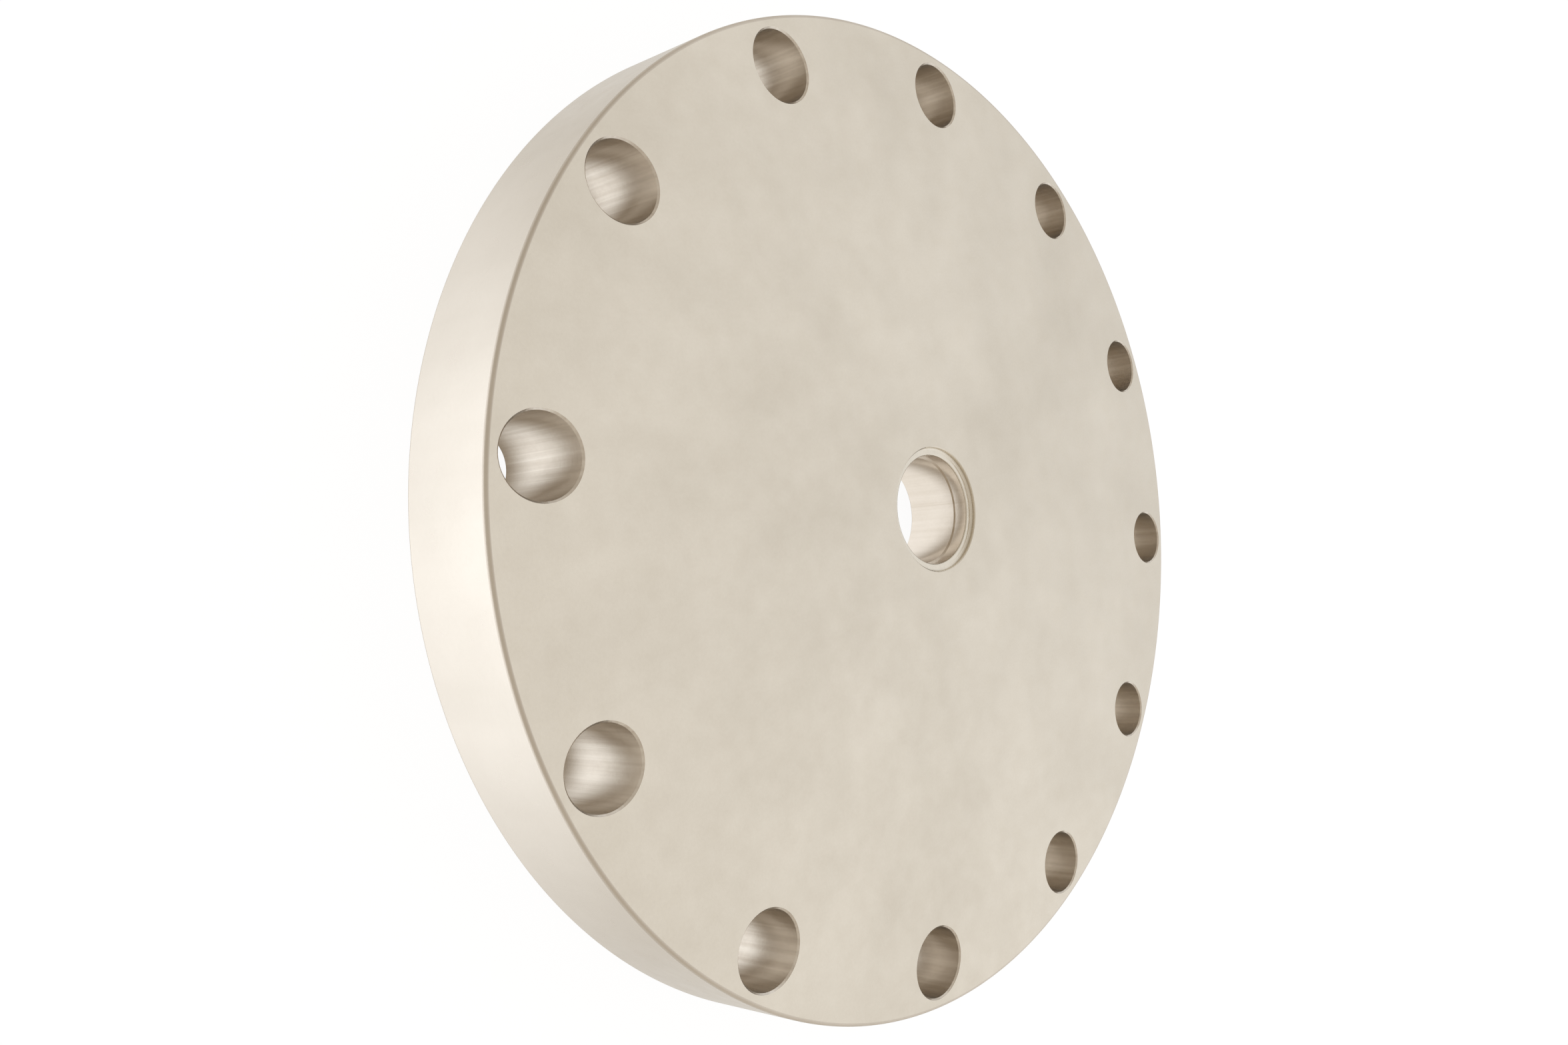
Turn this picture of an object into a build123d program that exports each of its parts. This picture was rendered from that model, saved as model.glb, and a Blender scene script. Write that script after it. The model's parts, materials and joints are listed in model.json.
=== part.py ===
from build123d import *
import os
from math import isclose, radians, tan

# A CF vacuum flange: one disc of stainless steel, turned and drilled from a single blank.
# The origin is the centre of the sealing face, and +Z is the turning axis, towards the plain
# back face. All sizes are in millimetres.

os.makedirs("parts", exist_ok=True)

# Disc
flange_diameter = 125.0
flange_thickness = 12.7
rim_edge_radius = 0.4

# Bolt holes, on one circle close to the rim
bolt_hole_count = 12
bolt_hole_diameter = 8.4
bolt_hole_edge_break = 0.2
wall_outside_bolt_holes = 1.3
wall_inside_bolt_holes = 0.8

# Gasket seat in the sealing face: depths are measured up from that face
gasket_floor_depth = 1.3
gasket_floor_width = 0.8
knife_edge_depth = 0.65
knife_edge_angle = 20.0
inner_recess_depth = 2.35
seat_edge_break = 0.15

# Tube bore, with a short socket and a shallow ring around it in the back face
tube_bore_diameter = 13.9
socket_step = 0.2
socket_depth = 2.1
ring_width = 1.0
ring_depth = 0.65
ring_corner_radius = 0.35
ring_edge_break = 0.1
socket_mouth_radius = 0.2
bore_edge_break = 0.2

# Radii and heights that follow from them
flange_radius = flange_diameter / 2
bolt_hole_radius = bolt_hole_diameter / 2
bolt_circle_radius = flange_radius - wall_outside_bolt_holes - bolt_hole_radius
gasket_recess_radius = bolt_circle_radius - bolt_hole_radius - wall_inside_bolt_holes
knife_slope_radius = gasket_recess_radius - gasket_floor_width
knife_slope_height = gasket_floor_depth - knife_edge_depth
knife_edge_radius = knife_slope_radius - knife_slope_height / tan(radians(knife_edge_angle))
tube_bore_radius = tube_bore_diameter / 2
socket_radius = tube_bore_radius + socket_step
ring_radius = socket_radius + ring_width
ring_floor_height = flange_thickness - ring_depth
socket_floor_height = ring_floor_height - socket_depth


def circles(part, radius, height):
    """The circular edges of one radius at one height."""
    return part.edges().filter_by(GeomType.CIRCLE).filter_by(
        lambda edge: isclose(edge.radius, radius, abs_tol=0.001)
        and isclose(edge.center().Z, height, abs_tol=0.001)
    )


with BuildPart() as flange:
    # Turning: half of the section, from the tube bore out to the rim and back along the top
    with BuildSketch(Plane.XZ) as half_section:
        with BuildLine() as outline:
            Polyline(
                (tube_bore_radius, inner_recess_depth),
                (knife_edge_radius, inner_recess_depth),
                (knife_edge_radius, knife_edge_depth),
                (knife_slope_radius, gasket_floor_depth),
                (gasket_recess_radius, gasket_floor_depth),
                (gasket_recess_radius, 0),
                (flange_radius, 0),
                (flange_radius, flange_thickness),
                (ring_radius, flange_thickness),
                (ring_radius, ring_floor_height),
                (socket_radius, ring_floor_height),
                (socket_radius, socket_floor_height),
                (tube_bore_radius, socket_floor_height),
                close=True,
            )
        make_face()
    revolve(axis=Axis.Z)

    # Turned edges: the rim's two corners, the ring, the socket's mouth and the recess
    fillet(circles(flange.part, flange_radius, 0), rim_edge_radius)
    fillet(circles(flange.part, flange_radius, flange_thickness), rim_edge_radius)
    fillet(circles(flange.part, ring_radius, ring_floor_height), ring_corner_radius)
    fillet(circles(flange.part, socket_radius, ring_floor_height), socket_mouth_radius)
    chamfer(circles(flange.part, ring_radius, flange_thickness), ring_edge_break)
    chamfer(circles(flange.part, gasket_recess_radius, 0), seat_edge_break)
    chamfer(circles(flange.part, tube_bore_radius, inner_recess_depth), bore_edge_break)

    # Drilling: the bolt holes stand half a pitch away from the X axis
    with Locations((0, 0, flange_thickness)):
        with PolarLocations(bolt_circle_radius, bolt_hole_count, start_angle=180 / bolt_hole_count):
            Hole(bolt_hole_radius, depth=flange_thickness)
    chamfer(circles(flange.part, bolt_hole_radius, flange_thickness), bolt_hole_edge_break)
    chamfer(circles(flange.part, bolt_hole_radius, 0), bolt_hole_edge_break)

flange.part.label = "flange"
export_step(flange.part, "parts/flange.step")

print("bolt circle diameter", 2 * bolt_circle_radius)
print("gasket recess diameter", 2 * gasket_recess_radius)
print("knife edge diameter", round(2 * knife_edge_radius, 2))
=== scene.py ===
"""Looks for the CF vacuum flange: one satin steel disc on a white floor.

The flange is one piece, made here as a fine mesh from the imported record's sizes: the turned
section is revolved, the bolt holes are drilled through it, and each kind of machined surface
has its own steel finish.
"""

import json
import math

import bmesh
import bpy
from mathutils import Matrix, Vector
from mathutils.geometry import delaunay_2d_cdt


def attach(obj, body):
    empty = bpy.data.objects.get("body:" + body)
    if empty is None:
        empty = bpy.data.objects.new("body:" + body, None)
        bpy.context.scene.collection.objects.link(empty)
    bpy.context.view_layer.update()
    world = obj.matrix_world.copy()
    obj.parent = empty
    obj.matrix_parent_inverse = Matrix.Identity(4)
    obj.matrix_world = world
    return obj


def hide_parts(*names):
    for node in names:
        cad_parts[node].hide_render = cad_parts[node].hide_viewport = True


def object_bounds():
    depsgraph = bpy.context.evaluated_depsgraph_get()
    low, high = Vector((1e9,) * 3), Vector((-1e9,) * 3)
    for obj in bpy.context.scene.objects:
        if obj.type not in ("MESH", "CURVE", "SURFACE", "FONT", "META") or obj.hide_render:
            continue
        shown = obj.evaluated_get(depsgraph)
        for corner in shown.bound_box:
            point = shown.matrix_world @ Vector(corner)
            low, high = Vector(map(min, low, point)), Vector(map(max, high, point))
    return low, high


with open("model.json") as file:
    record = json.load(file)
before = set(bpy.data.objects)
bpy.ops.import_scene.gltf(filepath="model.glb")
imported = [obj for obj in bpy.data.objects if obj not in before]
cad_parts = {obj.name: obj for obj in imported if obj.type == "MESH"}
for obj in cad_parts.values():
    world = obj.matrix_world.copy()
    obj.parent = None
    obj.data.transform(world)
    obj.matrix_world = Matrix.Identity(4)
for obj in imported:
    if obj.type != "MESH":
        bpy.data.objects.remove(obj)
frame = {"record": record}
cad_low, cad_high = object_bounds()

MM = 0.001

# ---------------------------------------------------------------------------------------
# Sizes, in metres: from the frame where it gives them, and otherwise as in the CAD model
# ---------------------------------------------------------------------------------------

mounts = {mount["name"]: mount for mount in frame["record"]["mounts"]}
bolts = mounts["bolt_circle"]["dims"]

flange_radius = (cad_high.x - cad_low.x) / 2
thickness = cad_high.z - cad_low.z
rim_edge_radius = 0.4 * MM

bolt_count = bolts["count"]
bolt_circle_radius = bolts["pcd_mm"] * MM / 2
bolt_hole_radius = bolts["hole_r_mm"] * MM
bolt_hole_edge_break = 0.2 * MM
wall_inside_bolt_holes = 0.8 * MM

gasket_floor_depth = 1.3 * MM
gasket_floor_width = 0.8 * MM
knife_edge_depth = 0.65 * MM
knife_edge_slope = math.tan(math.radians(20))
inner_recess_depth = 2.35 * MM
seat_edge_break = 0.15 * MM

bore_radius = mounts["tube_bore"]["dims"]["r_mm"] * MM
socket_radius = mounts["tube_socket"]["dims"]["r_mm"] * MM
socket_depth = 2.1 * MM
socket_mouth_radius = 0.2 * MM
bore_edge_break = 0.2 * MM
ring_width = 1.0 * MM
ring_depth = 0.65 * MM
ring_corner_radius = 0.35 * MM
ring_edge_break = 0.1 * MM

ring_radius = socket_radius + ring_width
ring_floor = thickness - ring_depth
socket_floor = ring_floor - socket_depth
recess_radius = bolt_circle_radius - bolt_hole_radius - wall_inside_bolt_holes
knife_slope_radius = recess_radius - gasket_floor_width
knife_radius = knife_slope_radius - (gasket_floor_depth - knife_edge_depth) / knife_edge_slope

TURN_STEPS = 480        # segments round every turned surface
HOLE_STEPS = 72         # segments round a bolt hole
ARC_STEPS = 8           # segments across a rounded edge
SAME_POINT = 1e-9       # two points of a flat face nearer than this are one
SHARP_ANGLE = math.radians(30)


# ---------------------------------------------------------------------------------------
# Node trees
# ---------------------------------------------------------------------------------------

class Nodes:
    """Short calls for building the node tree of a material or of the world."""

    def __init__(self, owner):
        owner.use_nodes = True
        self.tree = owner.node_tree
        self.tree.nodes.clear()

    def add(self, kind, inputs=None, **settings):
        """A new node. An input is given as a value or as another node's output."""
        node = self.tree.nodes.new(kind)
        for key, value in settings.items():
            setattr(node, key, value)
        for key, value in (inputs or {}).items():
            if isinstance(value, bpy.types.NodeSocket):
                self.tree.links.new(value, node.inputs[key])
            else:
                node.inputs[key].default_value = value
        return node

    def math(self, operation, first, second=0.0):
        return self.add("ShaderNodeMath", {0: first, 1: second}, operation=operation).outputs[0]

    def ramp(self, value, low, high, to_low=0.0, to_high=1.0, kind="LINEAR"):
        """Goes from to_low to to_high while the value goes from low to high, and stops there."""
        inputs = {"Value": value, "From Min": low, "From Max": high, "To Min": to_low, "To Max": to_high}
        return self.add("ShaderNodeMapRange", inputs, interpolation_type=kind).outputs["Result"]

    def smooth(self, value, low, high, to_low=0.0, to_high=1.0):
        """A ramp with a soft start and end."""
        return self.ramp(value, low, high, to_low, to_high, "SMOOTHSTEP")

    def noise(self, vector, scale, detail, roughness):
        inputs = {"Vector": vector, "Scale": scale, "Detail": detail, "Roughness": roughness}
        return self.add("ShaderNodeTexNoise", inputs).outputs["Fac"]

    def scaled(self, vector, scale):
        inputs = {0: vector, 1: scale}
        return self.add("ShaderNodeVectorMath", inputs, operation="MULTIPLY").outputs[0]

    def mix(self, factor, first, second):
        """The first colour at a factor of 0, and the second at 1."""
        node = self.add("ShaderNodeMix", data_type="RGBA")
        colours = [socket for socket in node.inputs if socket.type == "RGBA"]
        for socket, value in ((node.inputs[0], factor), (colours[0], first), (colours[1], second)):
            if isinstance(value, bpy.types.NodeSocket):
                self.tree.links.new(value, socket)
            else:
                socket.default_value = value
        return [socket for socket in node.outputs if socket.type == "RGBA"][0]


def rgb(red, green, blue):
    return (red, green, blue, 1.0)


def around_axis(nodes):
    """The object's own point, and that point's angle, radius and height about the flange's axis."""
    point = nodes.add("ShaderNodeTexCoord").outputs["Object"]
    x, y, height = nodes.add("ShaderNodeSeparateXYZ", {0: point}).outputs
    square = nodes.math("ADD", nodes.math("MULTIPLY", x, x), nodes.math("MULTIPLY", y, y))
    radius = nodes.math("SQRT", square)
    angle = nodes.math("ARCTAN2", y, x)
    return point, angle, radius, height


# ---------------------------------------------------------------------------------------
# Steel
# ---------------------------------------------------------------------------------------

# noises: scale in waves per metre, detail and roughness
CLOUDS = (38.0, 3.0, 0.55)
PATCHES = (140.0, 2.0, 0.5)
GRIT = (2600.0, 2.0, 0.6)
TURNING_LINES = (5200.0, 1.0, 0.5)
STREAK_DETAIL = (3.0, 0.55)
POLISH = (420.0, 3.0, 0.6)

CLOUD_SHARE, PATCH_SHARE, GRIT_SHARE = 0.6, 0.25, 0.15      # of the colour's tone
DARK_TONE, LIGHT_TONE = 0.32, 0.68                          # tones of the two colours
LINE_DRIFT = 0.004                                          # metres a turning line drifts per radian
ALONG_AXIS = (1.0, 1.0, 0.02)                               # stretches streaks along the axis
DARK_LINE_CORE, DARK_LINE_EDGE, DARK_LINE_DARKNESS = 0.004, 0.016, 0.5     # radians from the fine dark line along the axis, and its tone
POLISH_LOW, POLISH_HIGH, ROUGH_SPREAD = 0.3, 0.7, 0.04
BUMP_DEPTH = 0.00002
WIDE_STREAKS, COMMON_STREAKS, FINE_STREAKS, FINEST_STREAKS = 90.0, 900.0, 1500.0, 1600.0


def steel(name, light, dark, rough, grain, lines=0.0, streaks=0.0, streak_scale=COMMON_STREAKS,
          dark_line=None, metal=1.0):
    """Satin steel: cloudy colour, fine grain, turning lines round the axis and streaks along it.

    Grain, lines and streaks are strengths. A fine dark line can be drawn along the axis, at an angle
    given in degrees. A wall that is left as drilled is duller, and so less than fully metal.
    """
    material = bpy.data.materials.new(name)
    nodes = Nodes(material)
    point, angle, radius, height = around_axis(nodes)
    cloud = nodes.noise(point, *CLOUDS)
    patch = nodes.noise(point, *PATCHES)
    grit = nodes.noise(point, *GRIT)
    line_point = nodes.add("ShaderNodeCombineXYZ", {
        "X": nodes.math("MULTIPLY", angle, LINE_DRIFT),
        "Y": radius,
        "Z": height,
    }).outputs[0]
    line = nodes.noise(line_point, *TURNING_LINES)
    streak = nodes.noise(nodes.scaled(point, ALONG_AXIS), streak_scale, *STREAK_DETAIL)

    cloudy = nodes.math("MULTIPLY", cloud, CLOUD_SHARE)
    tone = nodes.math("ADD", cloudy, nodes.math("MULTIPLY", patch, PATCH_SHARE))
    tone = nodes.math("ADD", tone, nodes.math("MULTIPLY", grit, GRIT_SHARE))
    streaky = nodes.math("MULTIPLY", nodes.math("SUBTRACT", streak, 0.5), streaks)
    tone = nodes.math("ADD", tone, streaky)
    if dark_line is not None:
        from_dark_line = nodes.math("ABSOLUTE", nodes.math("SUBTRACT", angle, math.radians(dark_line)))
        darker = nodes.smooth(from_dark_line, DARK_LINE_CORE, DARK_LINE_EDGE, DARK_LINE_DARKNESS, 0.0)
        tone = nodes.math("SUBTRACT", tone, darker)
    colour = nodes.mix(nodes.ramp(tone, DARK_TONE, LIGHT_TONE), dark, light)

    polish = nodes.noise(point, *POLISH)
    smoothest, roughest = rough - ROUGH_SPREAD, rough + ROUGH_SPREAD
    roughness = nodes.ramp(polish, POLISH_LOW, POLISH_HIGH, smoothest, roughest)
    relief = nodes.math("ADD", nodes.math("MULTIPLY", grit, grain), nodes.math("MULTIPLY", line, lines))
    relief = nodes.math("ADD", relief, nodes.math("MULTIPLY", streak, streaks))
    bump = nodes.add("ShaderNodeBump", {"Height": relief, "Distance": BUMP_DEPTH, "Strength": 1.0})
    shader = nodes.add("ShaderNodeBsdfPrincipled", {
        "Base Color": colour,
        "Roughness": roughness,
        "Normal": bump.outputs[0],
        "Metallic": metal,
    })
    nodes.add("ShaderNodeOutputMaterial", {"Surface": shader.outputs[0]})
    return material


FACE_LIGHT = rgb(0.83, 0.772, 0.675)
FACE_DARK = rgb(0.715, 0.658, 0.565)
RIM_LIGHT = rgb(0.82, 0.765, 0.685)
RIM_DARK = rgb(0.745, 0.69, 0.61)
STEEL_LIGHT = rgb(0.80, 0.745, 0.65)
STEEL_DARK = rgb(0.755, 0.70, 0.605)
BORE_LIGHT = rgb(0.765, 0.71, 0.64)
BORE_DARK = rgb(0.665, 0.605, 0.525)
# Bolt hole walls: darker and browner than the face steel, partly painted shade for inside the holes
WALL_LIGHT = rgb(0.80, 0.745, 0.665)
WALL_DARK_WITH_PAINTED_SHADE = rgb(0.63, 0.565, 0.485)
EDGE_LIGHT = rgb(0.72, 0.66, 0.58)
EDGE_DARK = rgb(0.63, 0.57, 0.49)

FACE, RIM, RING, BORE, HOLE, SEAT, EDGE = range(7)      # places in the list of finishes
finishes = [
    steel("steel_face", FACE_LIGHT, FACE_DARK, rough=0.40, grain=0.35),
    steel("steel_rim", RIM_LIGHT, RIM_DARK, rough=0.24, grain=0.04, lines=0.12,
          streaks=0.6, streak_scale=WIDE_STREAKS),
    steel("steel_ring", STEEL_LIGHT, STEEL_DARK, rough=0.27, grain=0.3, lines=0.5,
          streaks=0.6, streak_scale=FINEST_STREAKS),
    steel("steel_bore", BORE_LIGHT, BORE_DARK, rough=0.17, grain=0.05, lines=0.1,
          streaks=0.45, streak_scale=FINE_STREAKS, dark_line=-2.0),
    steel("steel_hole", WALL_LIGHT, WALL_DARK_WITH_PAINTED_SHADE, rough=0.22, grain=0.05, lines=0.1,
          streaks=0.9, streak_scale=FINE_STREAKS, metal=0.8),
    steel("steel_seat", STEEL_LIGHT, STEEL_DARK, rough=0.30, grain=0.15, lines=0.5),
    steel("steel_edge", EDGE_LIGHT, EDGE_DARK, rough=0.42, grain=0.2),
]


# ---------------------------------------------------------------------------------------
# The flange's mesh
# ---------------------------------------------------------------------------------------

def arc(centre, radius, start, end):
    """Points of a rounded edge in the section, from one angle to another in degrees."""
    points = []
    for step in range(ARC_STEPS + 1):
        angle = math.radians(start + (end - start) * step / ARC_STEPS)
        points.append((centre[0] + radius * math.cos(angle), centre[1] + radius * math.sin(angle)))
    return points


def circle(mesh, radius, height, steps, centre=(0.0, 0.0)):
    """A loop of vertices round a vertical axis."""
    loop = []
    for step in range(steps):
        angle = 2 * math.pi * step / steps
        x = centre[0] + radius * math.cos(angle)
        y = centre[1] + radius * math.sin(angle)
        loop.append(mesh.verts.new((x, y, height)))
    return loop


def bridge(mesh, first, second, finish):
    """A band of quads between two loops with as many vertices."""
    for step in range(len(first)):
        after = (step + 1) % len(first)
        face = mesh.faces.new((first[step], first[after], second[after], second[step]))
        face.material_index = finish


def turned(mesh, section, finish, first=None):
    """Revolves a stretch of the section, and returns its first and last loops.

    A loop that is already there may be given as the first one.
    """
    loops = [first or circle(mesh, *section[0], TURN_STEPS)]
    for radius, height in section[1:]:
        loops.append(circle(mesh, radius, height, TURN_STEPS))
        bridge(mesh, loops[-2], loops[-1], finish)
    return loops[0], loops[-1]


def pierced(mesh, outer, inner, holes, finish):
    """A flat ring of faces between two turned loops, open at each hole."""
    loops = [outer, inner] + holes
    vertices = [vertex for loop in loops for vertex in loop]
    edges = []
    start = 0
    for loop in loops:
        count = len(loop)
        edges += [(start + step, start + (step + 1) % count) for step in range(count)]
        start += count
    flat = [Vector((vertex.co.x, vertex.co.y)) for vertex in vertices]
    triangles = delaunay_2d_cdt(flat, edges, [], 0, SAME_POINT)[2]
    inner_radius = math.hypot(*flat[len(outer)])
    centres = [sum((vertex.co.xy for vertex in hole), Vector((0, 0))) / len(hole) for hole in holes]
    hole_reach = (holes[0][0].co.xy - centres[0]).length
    for triangle in triangles:
        middle = sum((flat[index] for index in triangle), Vector((0, 0))) / 3
        in_hole = any((middle - centre).length < hole_reach for centre in centres)
        if middle.length > inner_radius and not in_hole:
            face = mesh.faces.new([vertices[index] for index in triangle])
            face.material_index = finish


def bolt_holes(mesh):
    """The walls of the bolt holes, half a pitch off the X axis. Returns their upper and lower mouths."""
    upper_mouths, lower_mouths = [], []
    mouth_radius = bolt_hole_radius + bolt_hole_edge_break
    for number in range(bolt_count):
        angle = 2 * math.pi * (number + 0.5) / bolt_count
        centre = (bolt_circle_radius * math.cos(angle), bolt_circle_radius * math.sin(angle))
        loops = [
            circle(mesh, mouth_radius, thickness, HOLE_STEPS, centre),
            circle(mesh, bolt_hole_radius, thickness - bolt_hole_edge_break, HOLE_STEPS, centre),
            circle(mesh, bolt_hole_radius, bolt_hole_edge_break, HOLE_STEPS, centre),
            circle(mesh, mouth_radius, 0.0, HOLE_STEPS, centre),
        ]
        for above, below in zip(loops, loops[1:]):
            bridge(mesh, above, below, HOLE)
        upper_mouths.append(loops[0])
        lower_mouths.append(loops[-1])
    return upper_mouths, lower_mouths


def flange_mesh():
    """The whole flange: rim, centre ring, bore and gasket seat turned, bolt holes, and flat faces."""
    mesh = bmesh.new()
    edge = rim_edge_radius
    lower_edge = arc((flange_radius - edge, edge), edge, -90, 0)
    upper_edge = arc((flange_radius - edge, thickness - edge), edge, 0, 90)
    rim_start, lower_end = turned(mesh, lower_edge, EDGE)
    upper_start = turned(mesh, [lower_edge[-1], upper_edge[0]], RIM, lower_end)[1]
    rim_end = turned(mesh, upper_edge, EDGE, upper_start)[1]

    corner = ring_corner_radius
    mouth = socket_mouth_radius
    ring_start, ring_end = turned(mesh, (
        [(ring_radius + ring_edge_break, thickness), (ring_radius, thickness - ring_edge_break)]
        + arc((ring_radius - corner, ring_floor + corner), corner, 0, -90)
        + arc((socket_radius + mouth, ring_floor - mouth), mouth, 90, 180)
    ), RING)
    bore_end = turned(mesh, [
        (socket_radius, ring_floor - mouth),
        (socket_radius, socket_floor),
        (bore_radius, socket_floor),
        (bore_radius, inner_recess_depth + bore_edge_break),
        (bore_radius + bore_edge_break, inner_recess_depth),
    ], BORE, ring_end)[1]
    seat_end = turned(mesh, [
        (bore_radius + bore_edge_break, inner_recess_depth),
        (knife_radius, inner_recess_depth),
        (knife_radius, knife_edge_depth),
        (knife_slope_radius, gasket_floor_depth),
        (recess_radius, gasket_floor_depth),
        (recess_radius, seat_edge_break),
        (recess_radius + seat_edge_break, 0.0),
    ], SEAT, bore_end)[1]

    upper_mouths, lower_mouths = bolt_holes(mesh)
    pierced(mesh, rim_end, ring_start, upper_mouths, FACE)
    pierced(mesh, rim_start, seat_end, lower_mouths, SEAT)
    bmesh.ops.recalc_face_normals(mesh, faces=mesh.faces)
    return mesh


def make_flange():
    """The flange's piece, with its finishes and with sharp edges between its machined surfaces."""
    mesh = flange_mesh()
    data = bpy.data.meshes.new("flange_body")
    mesh.to_mesh(data)
    mesh.free()
    for material in finishes:
        data.materials.append(material)
    data.shade_smooth()
    data.set_sharp_from_angle(angle=SHARP_ANGLE)
    piece = bpy.data.objects.new("flange_body", data)
    bpy.context.scene.collection.objects.link(piece)
    shading = piece.modifiers.new("flat_faces_stay_flat", "WEIGHTED_NORMAL")
    shading.keep_sharp = True
    shading.weight = 100
    return piece


flange = make_flange()
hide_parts("flange")
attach(flange, "root")


# ---------------------------------------------------------------------------------------
# Floor, light and camera
# ---------------------------------------------------------------------------------------

FLOOR_RADIUS = 6.0
FLOOR_STEPS = 96
FLOOR_PAPER = rgb(0.8, 0.8, 0.8)            # what takes the shadow
FLOOR_GLOW = 0.86                           # share of the floor's own light, beside the paper's
FLOOR_WHITE = rgb(1.09, 1.09, 1.09)         # that light as the camera sees it
FLOOR_IN_STEEL = (0.80, 0.775, 0.735)       # and as the steel reflects it, outside the disc
PAINTED_POOL_GLOW = (0.69, 0.73, 0.80)              # painted pool of light, added to it on a soft patch beside the near rim
PAINTED_POOL_CENTRE = (-0.095, 0.010, 0.0)
PAINTED_POOL_INNER = 0.015
PAINTED_POOL_OUTER = 0.070
PAINTED_SHADE_UNDER_FLANGE = rgb(0.45, 0.39, 0.32)        # painted shade, as the steel reflects the floor under the disc
PAINTED_LIGHT_UNDER_HOLE = rgb(1.55, 1.55, 1.55)          # painted light, as the steel reflects the floor under the middle of a bolt hole
PAINTED_LIGHT_UNDER_BORE = 0.78                           # share of that painted light under the bore
HOLE_FADE = (0.2, 1.0)                      # where that painted light fades, in radii of the hole
BORE_FADE = (0.65, 1.35)                    # and in radii of the bore

SKY_FRONT = rgb(1.0, 1.0, 1.0)              # towards +X, as light on the object
SKY_BACK = rgb(0.60, 0.55, 0.48)            # towards -X, behind the camera
SKY_FADE = (-0.15, 0.88)                    # from back to front, along X
SKY_TURN = 0.12                             # turns the front a little towards -Y
SKY_SLOPE = 0.08                            # dims +Y and lifts -Y
HORIZON = (0.74, 0.90)                      # the front is dimmer near the horizon, along X
HORIZON_LEVEL = 0.77
BACKDROP_WHITE = rgb(1.0, 1.0, 1.0)         # past the floor, as the camera sees it

CAMERA_PLACE = Vector((-119.246, 14.013, 107.836)) * MM
CAMERA_AIM = Vector((23.355, -2.112, 12.7)) * MM
CAMERA_ROLL = math.radians(84.418)


def from_nearest_hole(nodes, angle, radius):
    """The distance from the nearest bolt hole's axis, by the cosine rule."""
    pitch = 2 * math.pi / bolt_count
    swing = nodes.math("SUBTRACT", nodes.math("FLOORED_MODULO", angle, pitch), pitch / 2)
    across = nodes.math("MULTIPLY", radius, 2 * bolt_circle_radius)
    across = nodes.math("MULTIPLY", nodes.math("COSINE", swing), across)
    square = nodes.math("ADD", nodes.math("MULTIPLY", radius, radius), bolt_circle_radius ** 2)
    square = nodes.math("SUBTRACT", square, across)
    return nodes.math("SQRT", nodes.math("MAXIMUM", square, 0.0))


def floor_in_steel_with_painted_light(nodes):
    """The floor's light as the steel reflects it, with painted light and shade in it.

    It is brighter on a painted pool of light beside the near rim and with painted light under the
    openings, and darker under the rest of the disc, a painted shadow.
    """
    point, angle, radius, _ = around_axis(nodes)
    # A painted pool of light on the floor, which the near rim reflects
    apart = nodes.add("ShaderNodeVectorMath", {0: point, 1: PAINTED_POOL_CENTRE}, operation="DISTANCE")
    painted_pool = nodes.smooth(apart.outputs["Value"], PAINTED_POOL_INNER, PAINTED_POOL_OUTER, 1.0, 0.0)
    around_with_painted_pool = nodes.add("ShaderNodeCombineColor", {
        channel: nodes.math("ADD", nodes.math("MULTIPLY", painted_pool, glow), level)
        for channel, level, glow in zip(("Red", "Green", "Blue"), FLOOR_IN_STEEL, PAINTED_POOL_GLOW)
    }).outputs[0]

    from_hole = from_nearest_hole(nodes, angle, radius)
    hole_inner, hole_outer = (share * bolt_hole_radius for share in HOLE_FADE)
    bore_inner, bore_outer = (share * bore_radius for share in BORE_FADE)
    # Painted light on the floor under each bolt hole and under the bore
    painted_light_through_hole = nodes.smooth(from_hole, hole_inner, hole_outer, 1.0, 0.0)
    painted_light_through_bore = nodes.smooth(radius, bore_inner, bore_outer, PAINTED_LIGHT_UNDER_BORE, 0.0)
    painted_light_at_openings = nodes.math("MAXIMUM", painted_light_through_hole, painted_light_through_bore)
    # Painted shade under the disc, and painted light under the openings
    painted_shade_and_light_beneath = nodes.mix(painted_light_at_openings, PAINTED_SHADE_UNDER_FLANGE, PAINTED_LIGHT_UNDER_HOLE)
    outside = nodes.math("GREATER_THAN", radius, flange_radius)
    return nodes.mix(outside, painted_shade_and_light_beneath, around_with_painted_pool)


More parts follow.
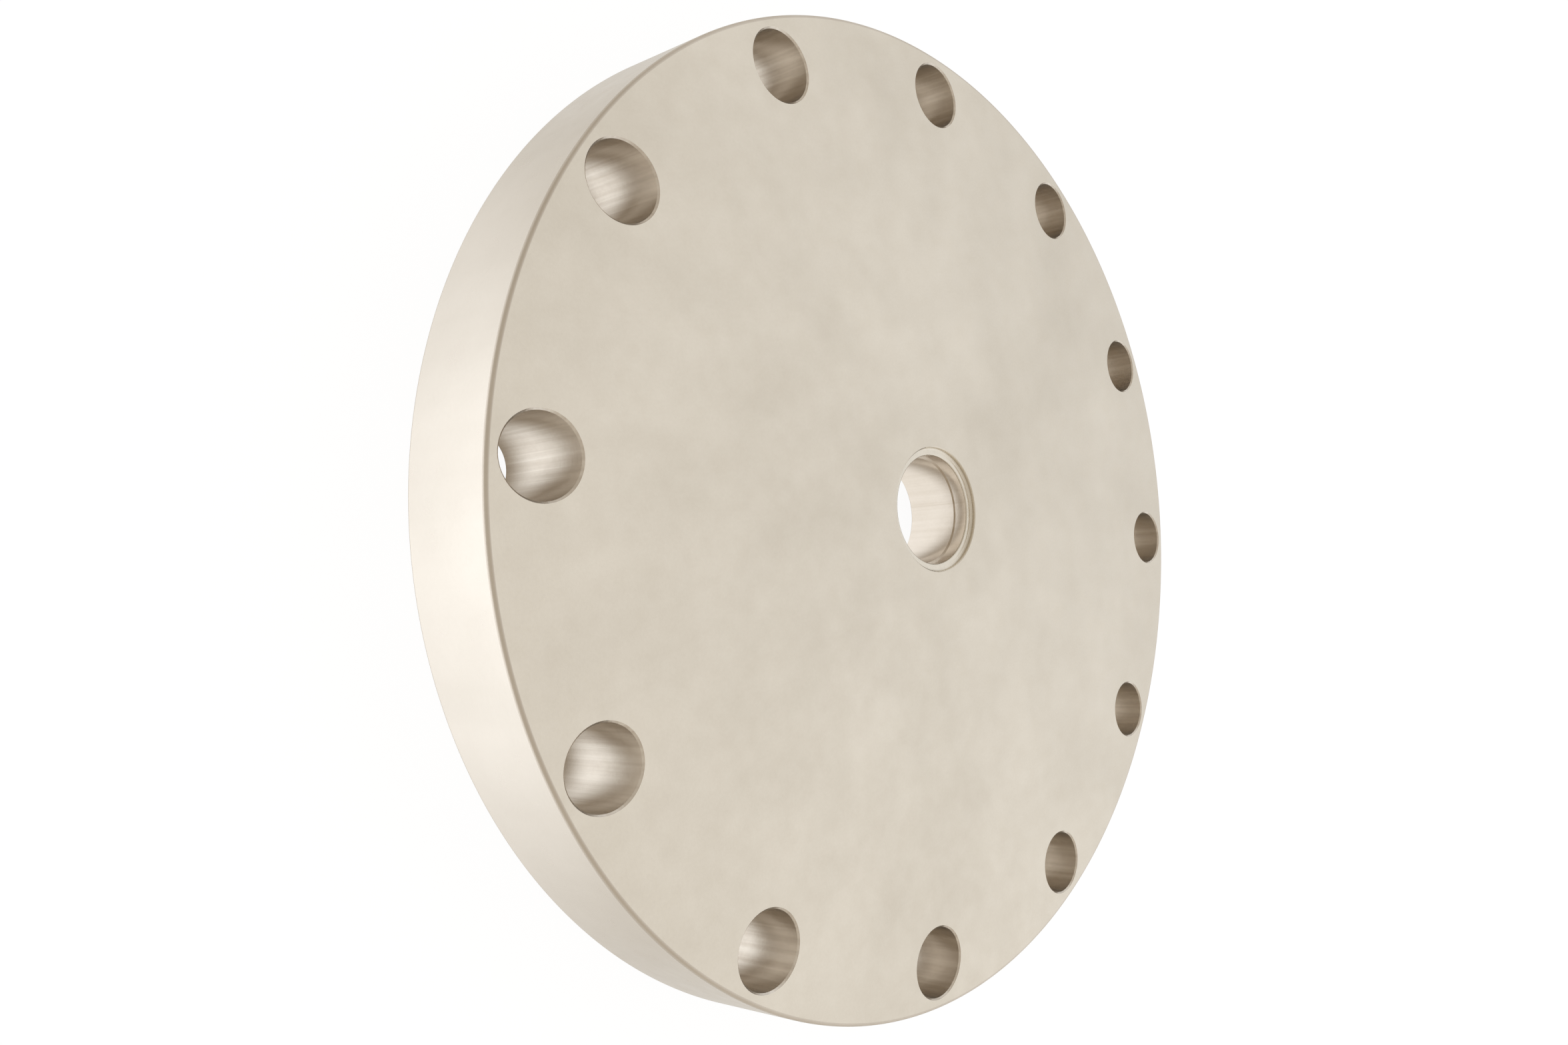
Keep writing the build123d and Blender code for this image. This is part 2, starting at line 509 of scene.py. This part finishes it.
def make_floor():
    """A wide floor that keeps a soft shadow, is plain white to the camera, and holds painted light and
    shade that only the steel sees.
    """
    material = bpy.data.materials.new("floor_white")
    nodes = Nodes(material)
    path = nodes.add("ShaderNodeLightPath")
    glossy = path.outputs["Is Glossy Ray"]
    seen = nodes.math("MAXIMUM", path.outputs["Is Camera Ray"], glossy)
    seen = nodes.math("MAXIMUM", seen, path.outputs["Is Transmission Ray"])
    paper = nodes.add("ShaderNodeBsdfDiffuse", {"Color": FLOOR_PAPER})
    # Glossy rays see the floor with its painted pool of light, painted shade and painted light
    glow_colour = nodes.mix(glossy, FLOOR_WHITE, floor_in_steel_with_painted_light(nodes))
    glow = nodes.add("ShaderNodeEmission", {"Color": glow_colour})
    share = nodes.math("MULTIPLY", seen, FLOOR_GLOW)
    both = nodes.add("ShaderNodeMixShader", {0: share, 1: paper.outputs[0], 2: glow.outputs[0]})
    nodes.add("ShaderNodeOutputMaterial", {"Surface": both.outputs[0]})
    bpy.ops.mesh.primitive_circle_add(vertices=FLOOR_STEPS, radius=FLOOR_RADIUS, fill_type="NGON")
    floor = bpy.context.object
    floor.name = "floor"
    floor.data.materials.append(material)


def make_world():
    """A pale sky, dimmer and warmer behind the camera, and plain white past the floor."""
    world = bpy.data.worlds.new("studio")
    nodes = Nodes(world)
    path = nodes.add("ShaderNodeLightPath")
    direction = nodes.add("ShaderNodeTexCoord").outputs["Generated"]
    x, y, _ = nodes.add("ShaderNodeSeparateXYZ", {0: direction}).outputs
    front = nodes.smooth(nodes.math("SUBTRACT", x, nodes.math("MULTIPLY", y, SKY_TURN)), *SKY_FADE)
    sideways = nodes.math("SUBTRACT", 1.0, nodes.math("MULTIPLY", y, SKY_SLOPE))
    level = nodes.math("MULTIPLY", sideways, nodes.smooth(x, *HORIZON, 1.0, HORIZON_LEVEL))
    sky = nodes.mix(front, SKY_BACK, SKY_FRONT)
    light = nodes.add("ShaderNodeBackground", {"Color": sky, "Strength": level})
    white = nodes.add("ShaderNodeBackground", {"Color": BACKDROP_WHITE})
    both = nodes.add("ShaderNodeMixShader", {
        0: path.outputs["Is Camera Ray"],
        1: light.outputs[0],
        2: white.outputs[0],
    })
    nodes.add("ShaderNodeOutputWorld", {"Surface": both.outputs[0]})
    bpy.context.scene.world = world


def look_from(place, aim, roll):
    """A matrix that stands at one point, looks at another and is rolled about that line."""
    back = (place - aim).normalized()
    turn = back.to_track_quat("Z", "Y").to_matrix() @ Matrix.Rotation(roll, 3, "Z")
    return Matrix.Translation(place) @ turn.to_4x4()


def make_camera():
    """A near, wide view across the disc, turned so that the disc stands upright in the picture."""
    lens = bpy.data.cameras.new("camera")
    lens.lens = 26.775
    lens.shift_x = -0.1605
    lens.shift_y = -0.0173
    lens.clip_start = 0.001
    lens.clip_end = 50.0
    camera = bpy.data.objects.new("camera", lens)
    bpy.context.scene.collection.objects.link(camera)
    camera.matrix_world = look_from(CAMERA_PLACE, CAMERA_AIM, CAMERA_ROLL)
    bpy.context.scene.camera = camera


make_floor()
make_world()
make_camera()
bpy.context.scene.view_settings.view_transform = "Standard"
